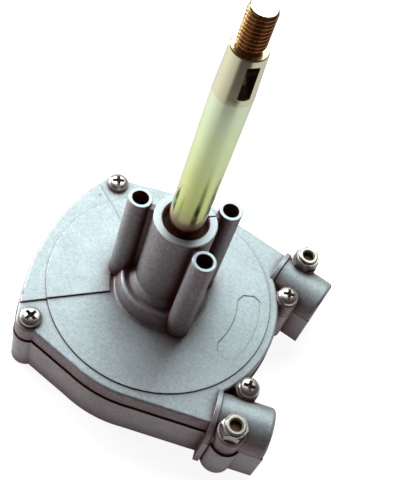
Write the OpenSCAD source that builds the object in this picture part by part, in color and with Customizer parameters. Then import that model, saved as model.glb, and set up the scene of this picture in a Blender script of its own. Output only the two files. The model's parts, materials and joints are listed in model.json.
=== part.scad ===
// Boat steering helm: a mechanical helm that winds a push-pull cable round a drum.
// The wheel turns the shaft, a planetary gear slows it down and turns the drum.
// The rear face is z = 0, +Z runs along the shaft towards the wheel, and the two
// cable outlets point to +X. Millimetres.

/* [Casing] */
// Depth from the rear face to the disc on the cover
case_depth = 40; // [38:0.5:46]
// Outer radius of the round part of the casing
case_r = 69.7; // [68.5:0.1:74]
// Wall of the castings
wall = 3.4; // [2.8:0.1:4]
// Thickness of the front plate under the disc
plate_t = 3.4; // [2.6:0.1:4.2]
// Thickness of the rear floor
floor_t = 4; // [3.2:0.1:5]
// Radius of the raised disc on the cover
disc_r = 64.3; // [60:0.1:66]
// Height of the disc above the rim of the cover
disc_step = 0.8; // [0.4:0.1:1.2]
// Height of the raised sector above its surroundings
sector_step = 1; // [0.5:0.1:1.4]
// Radius of the outer edges of the castings
edge_round = 1.4; // [0.8:0.1:2]
// Distance from the shaft axis to the far left of the casing
left_reach = 72.2; // [70:0.1:76]
// Radius of the shallow arc on the left side
left_arc_r = 138; // [120:1:160]
// Width of the groove between the cover and the rear housing
groove_w = 1.5; // [0.8:0.1:2]
// Depth of that groove
groove_depth = 1.8; // [1:0.1:2.4]

/* [Hub] */
// Height of the hub and of the posts above the disc
hub_h = 67.6; // [60:0.1:75]
// Outer radius of the hub
hub_r = 16.8; // [15:0.1:18]
// Bore of the hub, which takes the bushes
hub_bore_r = 11.9; // [11.4:0.05:12.8]
// Distance of the mounting posts from the shaft axis
post_at = 25.6; // [24.5:0.1:28]
// Radius of a mounting post at its top
post_r = 6.3; // [5.8:0.1:7]
// Radius of the hole in a post
post_bore_r = 4.4; // [3.4:0.05:4.9]
// Depth of the hole in a post
post_bore_depth = 35; // [20:1:60]
// Height of the stepped base round the hub
pedestal_h = 10.5; // [8:0.1:13]
// Radius of that base where it meets the disc
pedestal_r = 27; // [25:0.1:30]
// Thickness of the webs between the hub and the posts
web_t = 3.6; // [2.5:0.1:5]

/* [Steering shaft] */
// Diameter of the steering shaft
shaft_d = 19.05; // [18.9:0.05:20]
// Diameter of the journal that runs in the bushes
journal_d = 18; // [17:0.1:18.6]
// Distance from the hub's end face to the step between journal and shaft
step_gap = 2.5; // [1.5:0.1:4]
// Height of the start of the taper above the rear face
taper_z = 202; // [180:0.5:215]
// Length of the taper
taper_l = 25.4; // [22:0.1:30]
// Taper, as length over the loss of diameter
taper_rate = 12; // [10:1:16]
// Diameter of the threaded end
thread_d = 12.7; // [12:0.1:13]
// Length of the threaded end
thread_l = 20.2; // [16:0.1:26]
// Width of the key slot
key_w = 5.8; // [4.7:0.1:6.4]
// Depth of the key slot
key_depth = 5.4; // [4:0.1:6]
// Radius of the cutter that made the key slot
key_cutter_r = 11; // [9:0.1:13]
// Direction of the key slot
key_turn = -49.5; // [-180:0.5:180]
// Diameter of the lower end, which carries the sun pinion
spigot_d = 10; // [9:0.1:10.6]

/* [Cable outlets] */
// Radius of the steering cable's core
cable_r = 5.4; // [5:0.1:5.8]
// Height of the cable above the rear face
cable_z = 28; // [26:0.5:29]
// Angle between an outlet and the X axis
outlet_tilt = 9.5; // [6:0.5:12]
// Distance along the cable from its tangent point to an outlet
outlet_at = 47; // [45:0.5:50]
// Length of an outlet
outlet_l = 32.3; // [28:0.1:38]
// Outer radius of an outlet
outlet_r = 14.7; // [13.8:0.1:15.6]
// Radius of the bore for the cable's end fitting
port_r = 10; // [9:0.1:10.4]
// Wall between the fitting bore and the casing
port_wall = 5; // [3:0.1:7]

/* [Gears] */
// Module of the gears
gear_m = 1.5; // [1.48:0.01:1.52]
// Teeth of the sun pinion
sun_n = 12; // [12:12:12]
// Teeth of a planet gear
planet_n = 24; // [24:24:24]
// Pressure angle of the gears
pressure_angle = 25; // [22.5:0.5:27]
// Play between meshing teeth, along the pitch circle
backlash = 0.12; // [0.08:0.01:0.25]
// Face width of a planet gear
planet_w = 7.8; // [6:0.1:8]
// Radius of a planet pin
pin_r = 4; // [3.5:0.1:4.5]
// Wall of the ring gear outside its teeth
ring_wall = 3.1; // [2.6:0.1:3.4]

/* [Drum] */
// Width of the cable groove where it opens
drum_groove_w = 12; // [11.5:0.1:12.4]
// Flange on each side of the cable groove
drum_flange = 1.8; // [1.4:0.1:2]
// Thickness of the drum's web
drum_web_t = 4; // [3:0.1:4.4]
// Teeth round the groove, which hold the winding of the cable
drum_teeth = 72; // [60:1:80]

/* [Fasteners] */
// Distance of the cover screws from the shaft axis
screw_at = 75.4; // [74.8:0.1:76.4]
// Diameter of a cover screw
screw_d = 6; // [5:0.5:6.5]
// Length of a cover screw under its head
screw_l = 20; // [16:1:22]
// Diameter of a cover screw's head
screw_head_d = 12; // [10:0.1:12.4]
// Height of a cover screw's head
screw_head_h = 4.6; // [3.5:0.1:5]
// Diameter of an outlet bolt
bolt_d = 8; // [7:0.5:8.5]
// Length of an outlet bolt under its head
bolt_l = 35; // [33:1:37]
// Width across the flats of the bolt heads and lock nuts
hex_w = 13; // [12:0.1:13.5]
// Height of a lock nut
nut_h = 8; // [7:0.1:9]
// Height of the nut's seat above the rear face
nut_seat_z = 41.8; // [41:0.1:43]

/* [Clearances] */
// Radial clearance of a running shaft
run_gap = 0.05; // [0.03:0.01:0.08]
// End play between faces that turn past each other
face_gap = 0.3; // [0.2:0.05:0.4]
// Radial clearance of a screw or bolt in a plain hole
screw_gap = 0.25; // [0.15:0.05:0.4]
// Room round the cable in its channel
cable_gap = 0.5; // [0.3:0.1:0.9]

/* [Hidden] */
$fn = 96;
tiny = 0.02;

// Colours of the castings, the plated steel and the inner pieces
cast_colour = "lightsteelblue";
plated_colour = "darkkhaki";
zinc_colour = "silver";
gear_colour = "slategray";
bush_colour = "ivory";
rubber_colour = "dimgray";
nylon_colour = "palegoldenrod";

// Heights of the casing
rim_z = case_depth - disc_step;
ceiling_z = case_depth - plate_t;
skirt_z = cable_z + groove_w;
hub_top_z = case_depth + hub_h;
cavity_r = case_r - wall;

// The cable runs on a circle inside the wall, and each outlet is tangent to it
channel_r = cable_r + cable_gap;
cable_path_r = cavity_r - channel_r;
edge_offset = case_r - cable_path_r;
outlet_end = outlet_at + outlet_l;
port_start = outlet_at + port_wall;
collar_l = 3;
collar_step = 1.3;
outlet_round = 2;
outlet_foot_z = 1.5;
outlet_foot_round = 2.5;
ear_foot_z = 3;
rim_band_h = 6;
edge_bar_depth = 20;

// Bolts of the outlets: each crosses the edge of the fitting bore
bolt_r = bolt_d / 2;
bolt_hole_r = bolt_r + screw_gap;
bolt_along = outlet_at + 10.8;
bolt_aside = port_r + 0.5;
nut_boss_r = 7.9;
spot_face_r = hex_w / 2 / cos(30) + 0.6;
bolt_boss_r = 9.2;
socket_start = bolt_along + bolt_hole_r + 0.3;
clamp_r = port_r - 1;
bolt_boss_z = 2.5;
bolt_head_h = 5.3;
bolt_head_z = nut_seat_z + nut_h - 3.8 - bolt_l - bolt_head_h;
hex_pocket_w = hex_w + 4 * screw_gap;
nut_crown_h = 2;
insert_h = 1.6;
insert_wall = 1.1;
insert_lip = 0.5;

// Cover screws: two at the left corners, two beside the outlets
corner_turns = [135, -135];
side_turns = [26, -26];
screw_r = screw_d / 2;
screw_crown_r = 12.4;
screw_crown_h = 1.6;
cross_span = 7;
cross_w = 1.8;
cross_depth = 2.6;
corner_ear_r = 7.8;
side_ear_r = 6.6;
side_neck_w = 9;
screw_hole_end_z = rim_z - screw_l - 1.2;
left_line_turn = 104.5;
line_inset = 0.1;
overcut = 1;
bar_lead = 2;
sector_apex = -2.5;
sector_half = 38;
sector_inner_r = 29.3;

// Hub and posts
post_turns = [180, 45, -45];
post_draft = 0.6;
hub_edge = 0.5;
hub_mouth = 1.4;
hub_slot_turn = 40;
hub_slot_w = 0.7;
hub_slot_depth = 3.5;
web_drop = 2.5;

// Label pad, left bare
pad_inner_r = 45;
pad_outer_r = 58.5;
pad_half_angle = 25;
pad_depth = 0.35;
pad_corner = 3.5;

// Planetary gear: sun on the shaft, ring in the housing, planets on the drum
planet_count = 3;
ring_n = sun_n + 2 * planet_n;
orbit_r = gear_m * (sun_n + planet_n) / 2;
ring_root_r = gear_m * (ring_n / 2 + 1.25);
ring_outer_r = ring_root_r + ring_wall;
ring_w = 10.6;
locator_h = 4;
locator_t = 2.4;
carrier_t = 1.2;
carrier_r = orbit_r + pin_r + 3.5;
carrier_z = floor_t + 2 * face_gap;
planet_z = carrier_z + carrier_t + face_gap;
drum_z = floor_t + ring_w + 2 * face_gap;

// Drum: web over the gears, rim with a toothed groove at the height of the cable
drum_r = cable_path_r - 1;
groove_floor_r = cable_path_r - channel_r + 0.1;
groove_floor_w = 7;
drum_rim_h = drum_groove_w + 2 * drum_flange;
drum_rim_z = cable_z - drum_rim_h / 2;
drum_rim_t = 8;
drum_hub_r = 15.4;
drum_hub_h = 5;
drum_hub_top_z = drum_z + drum_web_t + drum_hub_h;
drum_tooth_h = 1.2;
drum_tooth_w = 1.9;
drum_tooth_l = groove_floor_w - 0.8;
drum_bush_t = 1.8;
drum_hole_r = 7;
drum_hole_at = 40.5;

// Shaft and bushes
shaft_r = shaft_d / 2;
journal_r = journal_d / 2;
shaft_step_z = hub_top_z + step_gap;
shaft_step_chamfer = 0.5;
spigot_r = spigot_d / 2;
spigot_flat = spigot_r - 0.9;
taper_top_z = taper_z + taper_l;
taper_top_r = shaft_r - taper_l / taper_rate / 2;
shaft_top_z = taper_top_z + thread_l;
thread_relief_l = 1.4;
thread_relief_depth = 0.9;
tip_chamfer = 1;
shoulder_chamfer = 0.5;
key_slot_at = taper_z + taper_l / 2 + 0.4;
shaft_foot_z = drum_z - face_gap;
sun_z = planet_z + 1.4;
sun_top_z = shaft_foot_z;
rear_bush_z = 1.2;
rear_bush_top_z = 6;
rear_bush_r = spigot_r + 3;
rear_boss_r = rear_bush_r + 2.6;
snap_ring_r = 0.5;
snap_ring_z = (rear_bush_top_z + sun_z) / 2;
boss_r = 15;
washer_t = 1;
washer_z = drum_hub_top_z + face_gap / 2;
boss_foot_z = washer_z + washer_t + face_gap / 2;
lower_bush_l = 20;
upper_bush_top_z = hub_top_z - 9.6;
upper_bush_l = 20;
seal_h = 3.6;
seal_z = upper_bush_top_z;
bush_r = hub_bore_r;

// Recess on the back, between the rim and the middle boss, with ribs left in it
back_inner_r = 24;
back_outer_r = 58;
back_depth = 1.4;
back_rib_t = 4;
back_ribs = 8;

// Gear outlines
function involute(a) = tan(a) * 180 / PI - a;
function base_r(n) = gear_m * n / 2 * cos(pressure_angle);
function half_tooth(n, r, play) =
    90 / n + involute(pressure_angle) - involute(acos(min(1, base_r(n) / r)))
    - play / 2 / (gear_m * n / 2) * 180 / PI;
function polar(r, a) = [r * cos(a), r * sin(a)];
flank_steps = 4;
function flank_r(n, root, tip, i) =
    max(base_r(n), root) + (tip - max(base_r(n), root)) * i / flank_steps;
function gear_points(n, root, tip, play) = [
    for (k = [0:n - 1]) let (c = 360 * k / n) each concat(
        [polar(root, c - half_tooth(n, max(base_r(n), root), play) - 0.6)],
        [for (i = [0:flank_steps])
            let (r = flank_r(n, root, tip, i)) polar(r, c - half_tooth(n, r, play))],
        [for (i = [flank_steps:-1:0])
            let (r = flank_r(n, root, tip, i)) polar(r, c + half_tooth(n, r, play))],
        [polar(root, c + half_tooth(n, max(base_r(n), root), play) + 0.6)])
];

module gear_outline(n) {
    pitch_r = gear_m * n / 2;
    polygon(gear_points(n, pitch_r - 1.25 * gear_m, pitch_r + gear_m, backlash));
}

// The space inside the ring gear: a gear outline with its tips in the ring's roots
module ring_space() {
    pitch_r = gear_m * ring_n / 2;
    rotate(180 / ring_n)
        polygon(gear_points(ring_n, pitch_r - gear_m, ring_root_r, -backlash));
}

// A plain ring about Z
module ring(outer, inner, h, z = 0) {
    translate([0, 0, z]) difference() {
        cylinder(r = outer, h = h);
        translate([0, 0, -1]) cylinder(r = inner, h = h + 2);
    }
}

// Half of a slab's cross-section, with its outer edges rounded
module edge_profile(r, h, top, foot) {
    translate([0, foot]) square([r, h - top - foot]);
    square([r - foot, h - top]);
    translate([0, foot]) square([r - top, h - foot]);
    if (top > 0) translate([r - top, h - top]) circle(top);
    if (foot > 0) translate([r - foot, foot]) circle(foot);
}

module puck(r, h, top = 0, foot = 0) {
    rotate_extrude() edge_profile(r, h, top, foot);
}

// A straight bar along X with one rounded side at y = r
module edge_bar(length, r, depth, h, top, foot) {
    rotate([90, 0, 90]) linear_extrude(length) {
        edge_profile(r, h, top, foot);
        translate([-depth, 0]) square([depth + tiny, h]);
    }
}

// Copies for the two mirrored sides
module both_sides() {
    children();
    mirror([0, 1, 0]) children();
}

// The frame of an outlet: its X axis is the cable's line, from its tangent point
module at_outlets() {
    both_sides()
        rotate(-outlet_tilt) translate([0, cable_path_r, 0]) children();
}

module at_bolts() {
    at_outlets() translate([bolt_along, bolt_aside, 0]) children();
}

module at_screws() {
    at_corners() children();
    at_sides() children();
}

module at_corners() {
    for (a = corner_turns) rotate(a) translate([screw_at, 0, 0]) children();
}

module at_sides() {
    for (a = side_turns) rotate(a) translate([screw_at, 0, 0]) children();
}

module at_posts() {
    for (a = post_turns) rotate(a) translate([post_at, 0, 0]) children();
}

module at_planets() {
    for (k = [0:planet_count - 1])
        rotate(360 * k / planet_count) translate([orbit_r, 0, 0]) children();
}

// Slab along the slanted line on the left of the casing
module left_bar(h, grow, top, foot) {
    length = 2 * case_r;
    rotate(left_line_turn - 90) translate([-length, 0, 0])
        edge_bar(length, case_r - line_inset + grow, 2.4 * case_r, h, top, foot);
}

// Outline shared by the two castings: a round middle, straight edges out to the
// outlets, and a left side between two slanted lines and a shallow arc
module casing_slab(h, grow = 0, top = 0, foot = 0) {
    puck(case_r + grow, h, top, foot);
    at_outlets() translate([-bar_lead, 0, 0])
        edge_bar(bar_lead + outlet_at + overcut, edge_offset - line_inset + grow,
            edge_bar_depth, h, top, foot);
    intersection() {
        translate([left_arc_r - left_reach, 0, 0]) puck(left_arc_r + grow, h, top, foot);
        left_bar(h, grow, top, foot);
        mirror([0, 1, 0]) left_bar(h, grow, top, foot);
    }
    at_corners() puck(corner_ear_r + grow, h, max(0, top - 0.2), max(0, foot - 0.2));
}

// Ears beside the outlets, each on a short neck
module side_ears(z, h, top) {
    translate([0, 0, z]) {
        at_sides() puck(side_ear_r, h, top);
        for (a = side_turns) rotate(a)
            translate([case_r - 6, -side_neck_w / 2, 0])
                cube([screw_at - case_r + 6, side_neck_w, h - top]);
    }
}

// Prism over the raised sector on the left of the cover
module sector_prism(z, h) {
    far = 110;
    translate([0, 0, z]) linear_extrude(h) difference() {
        polygon([[sector_apex, 0],
            [sector_apex - far * cos(sector_half), far * sin(sector_half)],
            [sector_apex - far * cos(sector_half), -far * sin(sector_half)]]);
        circle(sector_inner_r);
    }
}

// Stepped round base of the hub, with soft shoulders
module pedestal() {
    shoulder_r = 2;
    ridge_r = 22.4;
    collar_r = hub_r + 0.8;
    collar_z = pedestal_h + 4;
    translate([0, 0, case_depth]) rotate_extrude() {
        polygon([[0, -1], [pedestal_r + 0.6, -1], [pedestal_r + 0.6, 0], [pedestal_r - 0.8, 1.2],
            [ridge_r + shoulder_r, pedestal_h - shoulder_r], [ridge_r, pedestal_h - 0.1],
            [collar_r + 2.2, pedestal_h - 0.4], [collar_r, collar_z - 0.6],
            [hub_r, collar_z + 0.4], [0, collar_z + 0.4]]);
        translate([ridge_r, pedestal_h - shoulder_r]) circle(shoulder_r);
    }
}

module hub_and_posts() {
    pedestal();
    translate([0, 0, case_depth]) {
        puck(hub_r, hub_h, hub_edge);
        at_posts() {
            cylinder(r1 = post_r + post_draft, r2 = post_r, h = hub_h - 1);
            puck(post_r, hub_h, hub_edge - 0.1);
        }
        for (a = post_turns) rotate(a)
            translate([hub_bore_r + 2, -web_t / 2, 0])
                cube([post_at - hub_bore_r - 2, web_t, hub_h - web_drop]);
    }
}

// Outlet as a round bar: the cover keeps its upper half
module outlet_bar() {
    translate([outlet_at - 1, 0, 0]) rotate([0, 90, 0]) {
        puck(outlet_r, outlet_l + 1, outlet_round);
        puck(outlet_r + collar_step, collar_l, 0.6);
    }
}

// Everything to one side of the plane where the two castings meet
module past_joint(side) {
    far = 2 * case_r;
    translate([-far, -far, side > 0 ? cable_z : cable_z - far]) cube([2 * far, 2 * far, far]);
}

// Lower half of an outlet: a block with rounded lower edges
module outlet_block(length, half_w, foot_round) {
    depth = cable_z - outlet_foot_z + overcut;
    rotate([90, 0, 90]) linear_extrude(length) translate([0, outlet_foot_z]) {
        translate([-half_w, foot_round]) square([2 * half_w, depth - foot_round]);
        translate([-half_w + foot_round, 0]) square([2 * (half_w - foot_round), depth]);
        for (s = [-1, 1]) translate([s * (half_w - foot_round), foot_round])
            circle(foot_round);
    }
}

// What the cable and its end fitting need: a channel, a bore and a small lead-in
module cable_ways() {
    at_outlets() translate([0, 0, cable_z]) rotate([0, 90, 0]) {
        cylinder(r = channel_r - line_inset, h = port_start + 1);
        translate([0, 0, port_start]) cylinder(r = clamp_r, h = socket_start - port_start + 1);
        translate([0, 0, socket_start]) cylinder(r = port_r, h = outlet_end - socket_start + 1);
        translate([0, 0, outlet_end - 0.8]) cylinder(r1 = port_r, r2 = port_r + 1.6, h = 1.6);
    }
}

module label_pad() {
    intersection() {
        ring(pad_outer_r, pad_inner_r, pad_depth + 1, case_depth - pad_depth);
        linear_extrude(case_depth + 2) difference() {
            polygon([[0, 0], 2 * pad_outer_r * [cos(pad_half_angle), sin(pad_half_angle)],
                2 * pad_outer_r * [cos(pad_half_angle), -sin(pad_half_angle)]]);
            for (s = [-1, 1], r = [pad_inner_r, pad_outer_r])
                rotate(s * pad_half_angle) translate([r, s]) rotate(45)
                    square((pad_corner + 1) * sqrt(2), center = true);
        }
    }
}

module front_cover() {
    color(cast_colour) difference() {
        union() {
            translate([0, 0, skirt_z])
                casing_slab(rim_z - skirt_z, 0, edge_round);
            translate([0, 0, cable_z - overcut])
                casing_slab(overcut + groove_w + tiny, -groove_depth);
            cylinder(r = disc_r, h = case_depth);
            intersection() {
                translate([0, 0, skirt_z])
                    casing_slab(rim_z + sector_step - skirt_z, -0.6, edge_round);
                sector_prism(rim_z - 2, 6);
            }
            intersection() {
                cylinder(r = disc_r, h = case_depth + sector_step);
                sector_prism(case_depth - 2, 6);
            }
            translate([0, 0, cable_z - overcut]) at_corners()
                cylinder(r = corner_ear_r - 1, h = overcut + 4);
            side_ears(cable_z - overcut, overcut + rim_z - cable_z, 0.8);
            translate([0, 0, cable_z]) at_outlets() outlet_bar();
            translate([0, 0, cable_z - overcut]) at_bolts()
                puck(nut_boss_r, overcut + nut_seat_z - cable_z, 0.6);
            hub_and_posts();
        }
        past_joint(-1);
        translate([0, 0, -1]) cylinder(r = cavity_r, h = ceiling_z + 1);
        cable_ways();
        cylinder(r = hub_bore_r, h = hub_top_z + 1);
        translate([0, 0, hub_top_z - hub_mouth / 2])
            cylinder(r1 = hub_bore_r, r2 = hub_bore_r + hub_mouth, h = hub_mouth);
        rotate(hub_slot_turn)
            translate([hub_bore_r - 1, -hub_slot_w / 2, hub_top_z - hub_slot_depth])
                cube([hub_r - hub_bore_r + 3, hub_slot_w, hub_slot_depth + 1]);
        translate([0, 0, hub_top_z - post_bore_depth]) at_posts()
            cylinder(r = post_bore_r, h = post_bore_depth + 1);
        at_screws() cylinder(r = screw_r + screw_gap, h = case_depth + 5);
        at_screws() translate([0, 0, rim_z]) cylinder(r = screw_head_d / 2 + 0.6, h = 5);
        at_bolts() translate([0, 0, cable_z - 5 * overcut])
            cylinder(r = bolt_hole_r, h = case_depth);
        at_bolts() translate([0, 0, nut_seat_z]) cylinder(r = spot_face_r, h = case_depth);
        label_pad();
    }
    color(cast_colour) ring(boss_r, hub_bore_r, ceiling_z - boss_foot_z + tiny, boss_foot_z);
}

// Rear casting before its inside is taken out
module housing_outside() {
    casing_slab(cable_z + overcut, 0.3, 0, edge_round);
    translate([0, 0, cable_z - rim_band_h])
        casing_slab(rim_band_h + overcut, 0.7, 0, 0.3);
    side_ears(ear_foot_z, cable_z - ear_foot_z + overcut, 0);
    at_outlets() translate([outlet_at - 1, 0, 0]) {
        outlet_block(outlet_l + 1, outlet_r, outlet_foot_round);
        outlet_block(collar_l, outlet_r + collar_step, outlet_foot_round);
    }
    at_bolts() translate([0, 0, bolt_boss_z])
        puck(bolt_boss_r, cable_z - bolt_boss_z + overcut, 0, 1.5);
}

module rear_housing() {
    color(cast_colour) difference() {
        union() {
            difference() {
                housing_outside();
                translate([0, 0, floor_t]) cylinder(r = cavity_r, h = case_depth);
            }
            ring(ring_outer_r + locator_t, ring_outer_r, floor_t + locator_h);
            cylinder(r = rear_boss_r, h = rear_bush_top_z);
        }
        past_joint(1);
        cable_ways();
        at_screws() translate([0, 0, screw_hole_end_z])
            cylinder(r = screw_r, h = case_depth);
        at_bolts() {
            cylinder(r = bolt_hole_r, h = case_depth);
            cylinder(d = hex_pocket_w / cos(30), h = bolt_head_z + bolt_head_h, $fn = 6);
        }
        translate([0, 0, rear_bush_z]) cylinder(r = rear_bush_r, h = case_depth);
        translate([0, 0, -1]) linear_extrude(back_depth + 1) difference() {
            circle(back_outer_r);
            circle(back_inner_r);
            for (k = [0:back_ribs - 1]) rotate(360 * k / back_ribs)
                translate([0, -back_rib_t / 2]) square([case_r, back_rib_t]);
        }
    }
}

module steering_shaft() {
    color(plated_colour) difference() {
        union() {
            translate([0, 0, shaft_foot_z])
                cylinder(r = journal_r, h = shaft_step_z + 1 - shaft_foot_z);
            translate([0, 0, shaft_step_z])
                cylinder(r1 = shaft_r - shaft_step_chamfer, r2 = shaft_r, h = shaft_step_chamfer);
            translate([0, 0, shaft_step_z + shaft_step_chamfer])
                cylinder(r = shaft_r, h = taper_z - shaft_step_z - shaft_step_chamfer);
            translate([0, 0, taper_z])
                cylinder(r1 = shaft_r, r2 = taper_top_r, h = taper_l - shoulder_chamfer);
            translate([0, 0, taper_top_z - shoulder_chamfer])
                cylinder(r1 = taper_top_r, r2 = taper_top_r - shoulder_chamfer,
                    h = shoulder_chamfer);
            translate([0, 0, taper_top_z - 1])
                cylinder(d = thread_d - 2 * thread_relief_depth, h = thread_relief_l + 2);
            translate([0, 0, taper_top_z + thread_relief_l])
                cylinder(d = thread_d, h = thread_l - thread_relief_l - tip_chamfer);
            translate([0, 0, shaft_top_z - tip_chamfer])
                cylinder(d1 = thread_d, d2 = thread_d - 2 * tip_chamfer, h = tip_chamfer);
            intersection() {
                translate([0, 0, rear_bush_z + face_gap])
                    cylinder(r = spigot_r, h = shaft_foot_z - rear_bush_z);
                union() {
                    translate([0, 0, 0]) cylinder(r = spigot_r + 1, h = sun_z);
                    translate([-spigot_flat, -spigot_r, 0])
                        cube([2 * spigot_flat, 2 * spigot_r, shaft_foot_z + 1]);
                }
            }
        }
        translate([0, 0, snap_ring_z]) rotate_extrude()
            translate([spigot_r, 0]) circle(snap_ring_r + 0.05, $fn = 24);
        rotate(key_turn) translate([shaft_r - key_depth + key_cutter_r, 0, key_slot_at])
            rotate([90, 0, 0]) cylinder(r = key_cutter_r, h = key_w, center = true);
    }
}

module sun_pinion() {
    color(gear_colour) translate([0, 0, sun_z]) linear_extrude(sun_top_z - sun_z)
        difference() {
            gear_outline(sun_n);
            intersection() {
                circle(spigot_r);
                square([2 * spigot_flat, 3 * spigot_r], center = true);
            }
        }
}

module pinion_snap_ring() {
    color(zinc_colour) translate([0, 0, snap_ring_z]) rotate_extrude()
        translate([spigot_r, 0]) circle(snap_ring_r, $fn = 24);
}

module upper_bush() {
    color(bush_colour)
        ring(bush_r, journal_r + run_gap, upper_bush_l, upper_bush_top_z - upper_bush_l);
}

module lower_bush() {
    color(bush_colour) ring(bush_r, journal_r + run_gap, lower_bush_l, boss_foot_z);
}

// Lip seal: a ring with a groove in its open face
module shaft_seal() {
    color(rubber_colour) difference() {
        ring(bush_r, journal_r + run_gap, seal_h, seal_z);
        ring(bush_r - 0.8, journal_r + 0.75, seal_h, seal_z + seal_h - 1.4);
    }
}

module rear_bush() {
    color(bush_colour)
        ring(rear_bush_r, spigot_r + run_gap, rear_bush_top_z - rear_bush_z, rear_bush_z);
}

module cable_drum() {
    tooth_r = groove_floor_r - 0.6;
    color(cast_colour) difference() {
        union() {
            rotate_extrude() {
                translate([0, drum_z]) square([drum_hub_r, drum_hub_top_z - drum_z]);
                translate([0, drum_z]) square([drum_r - 2, drum_web_t]);
                difference() {
                    translate([drum_r - drum_rim_t, drum_z])
                        square([drum_rim_t, drum_rim_z + drum_rim_h - drum_z]);
                    polygon([[groove_floor_r, cable_z - groove_floor_w / 2],
                        [groove_floor_r, cable_z + groove_floor_w / 2],
                        [drum_r + tiny, cable_z + drum_groove_w / 2],
                        [drum_r + tiny, cable_z - drum_groove_w / 2]]);
                }
            }
            for (k = [0:drum_teeth - 1]) rotate(360 * k / drum_teeth)
                translate([tooth_r, -drum_tooth_w / 2, cable_z - drum_tooth_l / 2])
                    cube([groove_floor_r - tooth_r + drum_tooth_h, drum_tooth_w, drum_tooth_l]);
        }
        cylinder(r = journal_r + run_gap + drum_bush_t, h = case_depth);
        at_planets() cylinder(r = pin_r, h = case_depth);
        for (k = [0:planet_count - 1])
            rotate(360 * k / planet_count + 60) translate([drum_hole_at, 0, 0])
                cylinder(r = drum_hole_r, h = case_depth);
    }
}

module drum_bush() {
    color(bush_colour)
        ring(journal_r + run_gap + drum_bush_t, journal_r + run_gap,
            drum_hub_top_z - drum_z, drum_z);
}

module drum_thrust_washer() {
    color(bush_colour) ring(drum_hub_r - 0.6, journal_r + 3 * run_gap, washer_t, washer_z);
}

module carrier_plate() {
    color(zinc_colour) difference() {
        ring(carrier_r, rear_boss_r + face_gap, carrier_t, carrier_z);
        at_planets() cylinder(r = pin_r, h = case_depth);
    }
}

module planet_pins() {
    color(zinc_colour) at_planets() translate([0, 0, carrier_z])
        cylinder(r = pin_r, h = drum_z + drum_web_t - carrier_z);
}

module planet_gear(k) {
    color(gear_colour)
        rotate(360 * k / planet_count) translate([orbit_r, 0, planet_z]) difference() {
            linear_extrude(planet_w) rotate(180 / planet_n) gear_outline(planet_n);
            translate([0, 0, -1]) cylinder(r = pin_r + run_gap, h = planet_w + 2);
            for (z = [-1, planet_w - 1]) translate([0, 0, z])
                ring(gear_m * planet_n / 2 - 3.2, pin_r + 3, 2);
        }
}

module planet_gear_1() {
    planet_gear(0);
}

module planet_gear_2() {
    planet_gear(1);
}

module planet_gear_3() {
    planet_gear(2);
}

module ring_gear() {
    color(gear_colour) translate([0, 0, floor_t]) linear_extrude(ring_w) difference() {
        circle(ring_outer_r);
        ring_space();
    }
}

// Pan-head screw with a cross recess, its thread drawn as a plain shank
module cover_screw() {
    edge = 0.4;
    puck(screw_head_d / 2, screw_head_h - screw_crown_h, edge);
    difference() {
        intersection() {
            cylinder(r = screw_head_d / 2 - edge, h = screw_head_h);
            translate([0, 0, screw_head_h - screw_crown_r]) sphere(r = screw_crown_r);
        }
        translate([0, 0, screw_head_h]) for (a = [0, 90]) rotate(a)
            cube([cross_span, cross_w, 2 * cross_depth], center = true);
    }
    translate([0, 0, -screw_l]) cylinder(r = screw_r, h = screw_l + 1);
}

module cover_screws() {
    color(zinc_colour) translate([0, 0, rim_z]) at_screws() cover_screw();
}

module cable_bolts() {
    color(zinc_colour) at_bolts() translate([0, 0, bolt_head_z]) {
        cylinder(d = hex_w / cos(30), h = bolt_head_h, $fn = 6);
        cylinder(r = bolt_r, h = bolt_head_h + bolt_l);
    }
}

module lock_nuts() {
    crown_r = hex_w / 2 - 0.8;
    hex_h = nut_h - nut_crown_h + 0.4;
    color(zinc_colour) at_bolts() translate([0, 0, nut_seat_z]) difference() {
        union() {
            intersection() {
                cylinder(d = hex_w / cos(30), h = hex_h, $fn = 6);
                cylinder(r1 = hex_w / 2 + 8.2, r2 = hex_w / 2 + 0.1, h = hex_h);
            }
            puck(crown_r, nut_h, 0.7);
        }
        translate([0, 0, -1]) cylinder(r = bolt_r, h = nut_h + 2);
        translate([0, 0, nut_h - insert_h - insert_lip])
            cylinder(r = bolt_r + insert_wall, h = insert_h + 0.1);
    }
}

module lock_nut_inserts() {
    color(nylon_colour) at_bolts()
        ring(bolt_r + insert_wall, bolt_r - 0.6, insert_h,
            nut_seat_z + nut_h - insert_h - insert_lip);
}

rear_housing();
front_cover();
steering_shaft();
sun_pinion();
pinion_snap_ring();
upper_bush();
lower_bush();
shaft_seal();
rear_bush();
cable_drum();
drum_bush();
drum_thrust_washer();
carrier_plate();
planet_pins();
planet_gear_1();
planet_gear_2();
planet_gear_3();
ring_gear();
cover_screws();
cable_bolts();
lock_nuts();
lock_nut_inserts();
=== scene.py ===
# %% [markdown]
# # A boat steering helm
#
# The CAD model already has every piece at its real size. This lesson gives the pieces
# their finishes, adds the thread that CAD leaves out and rounder screw heads with a deeper
# cross, and sets up a small white studio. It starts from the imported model, which stays
# fixed.

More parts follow.
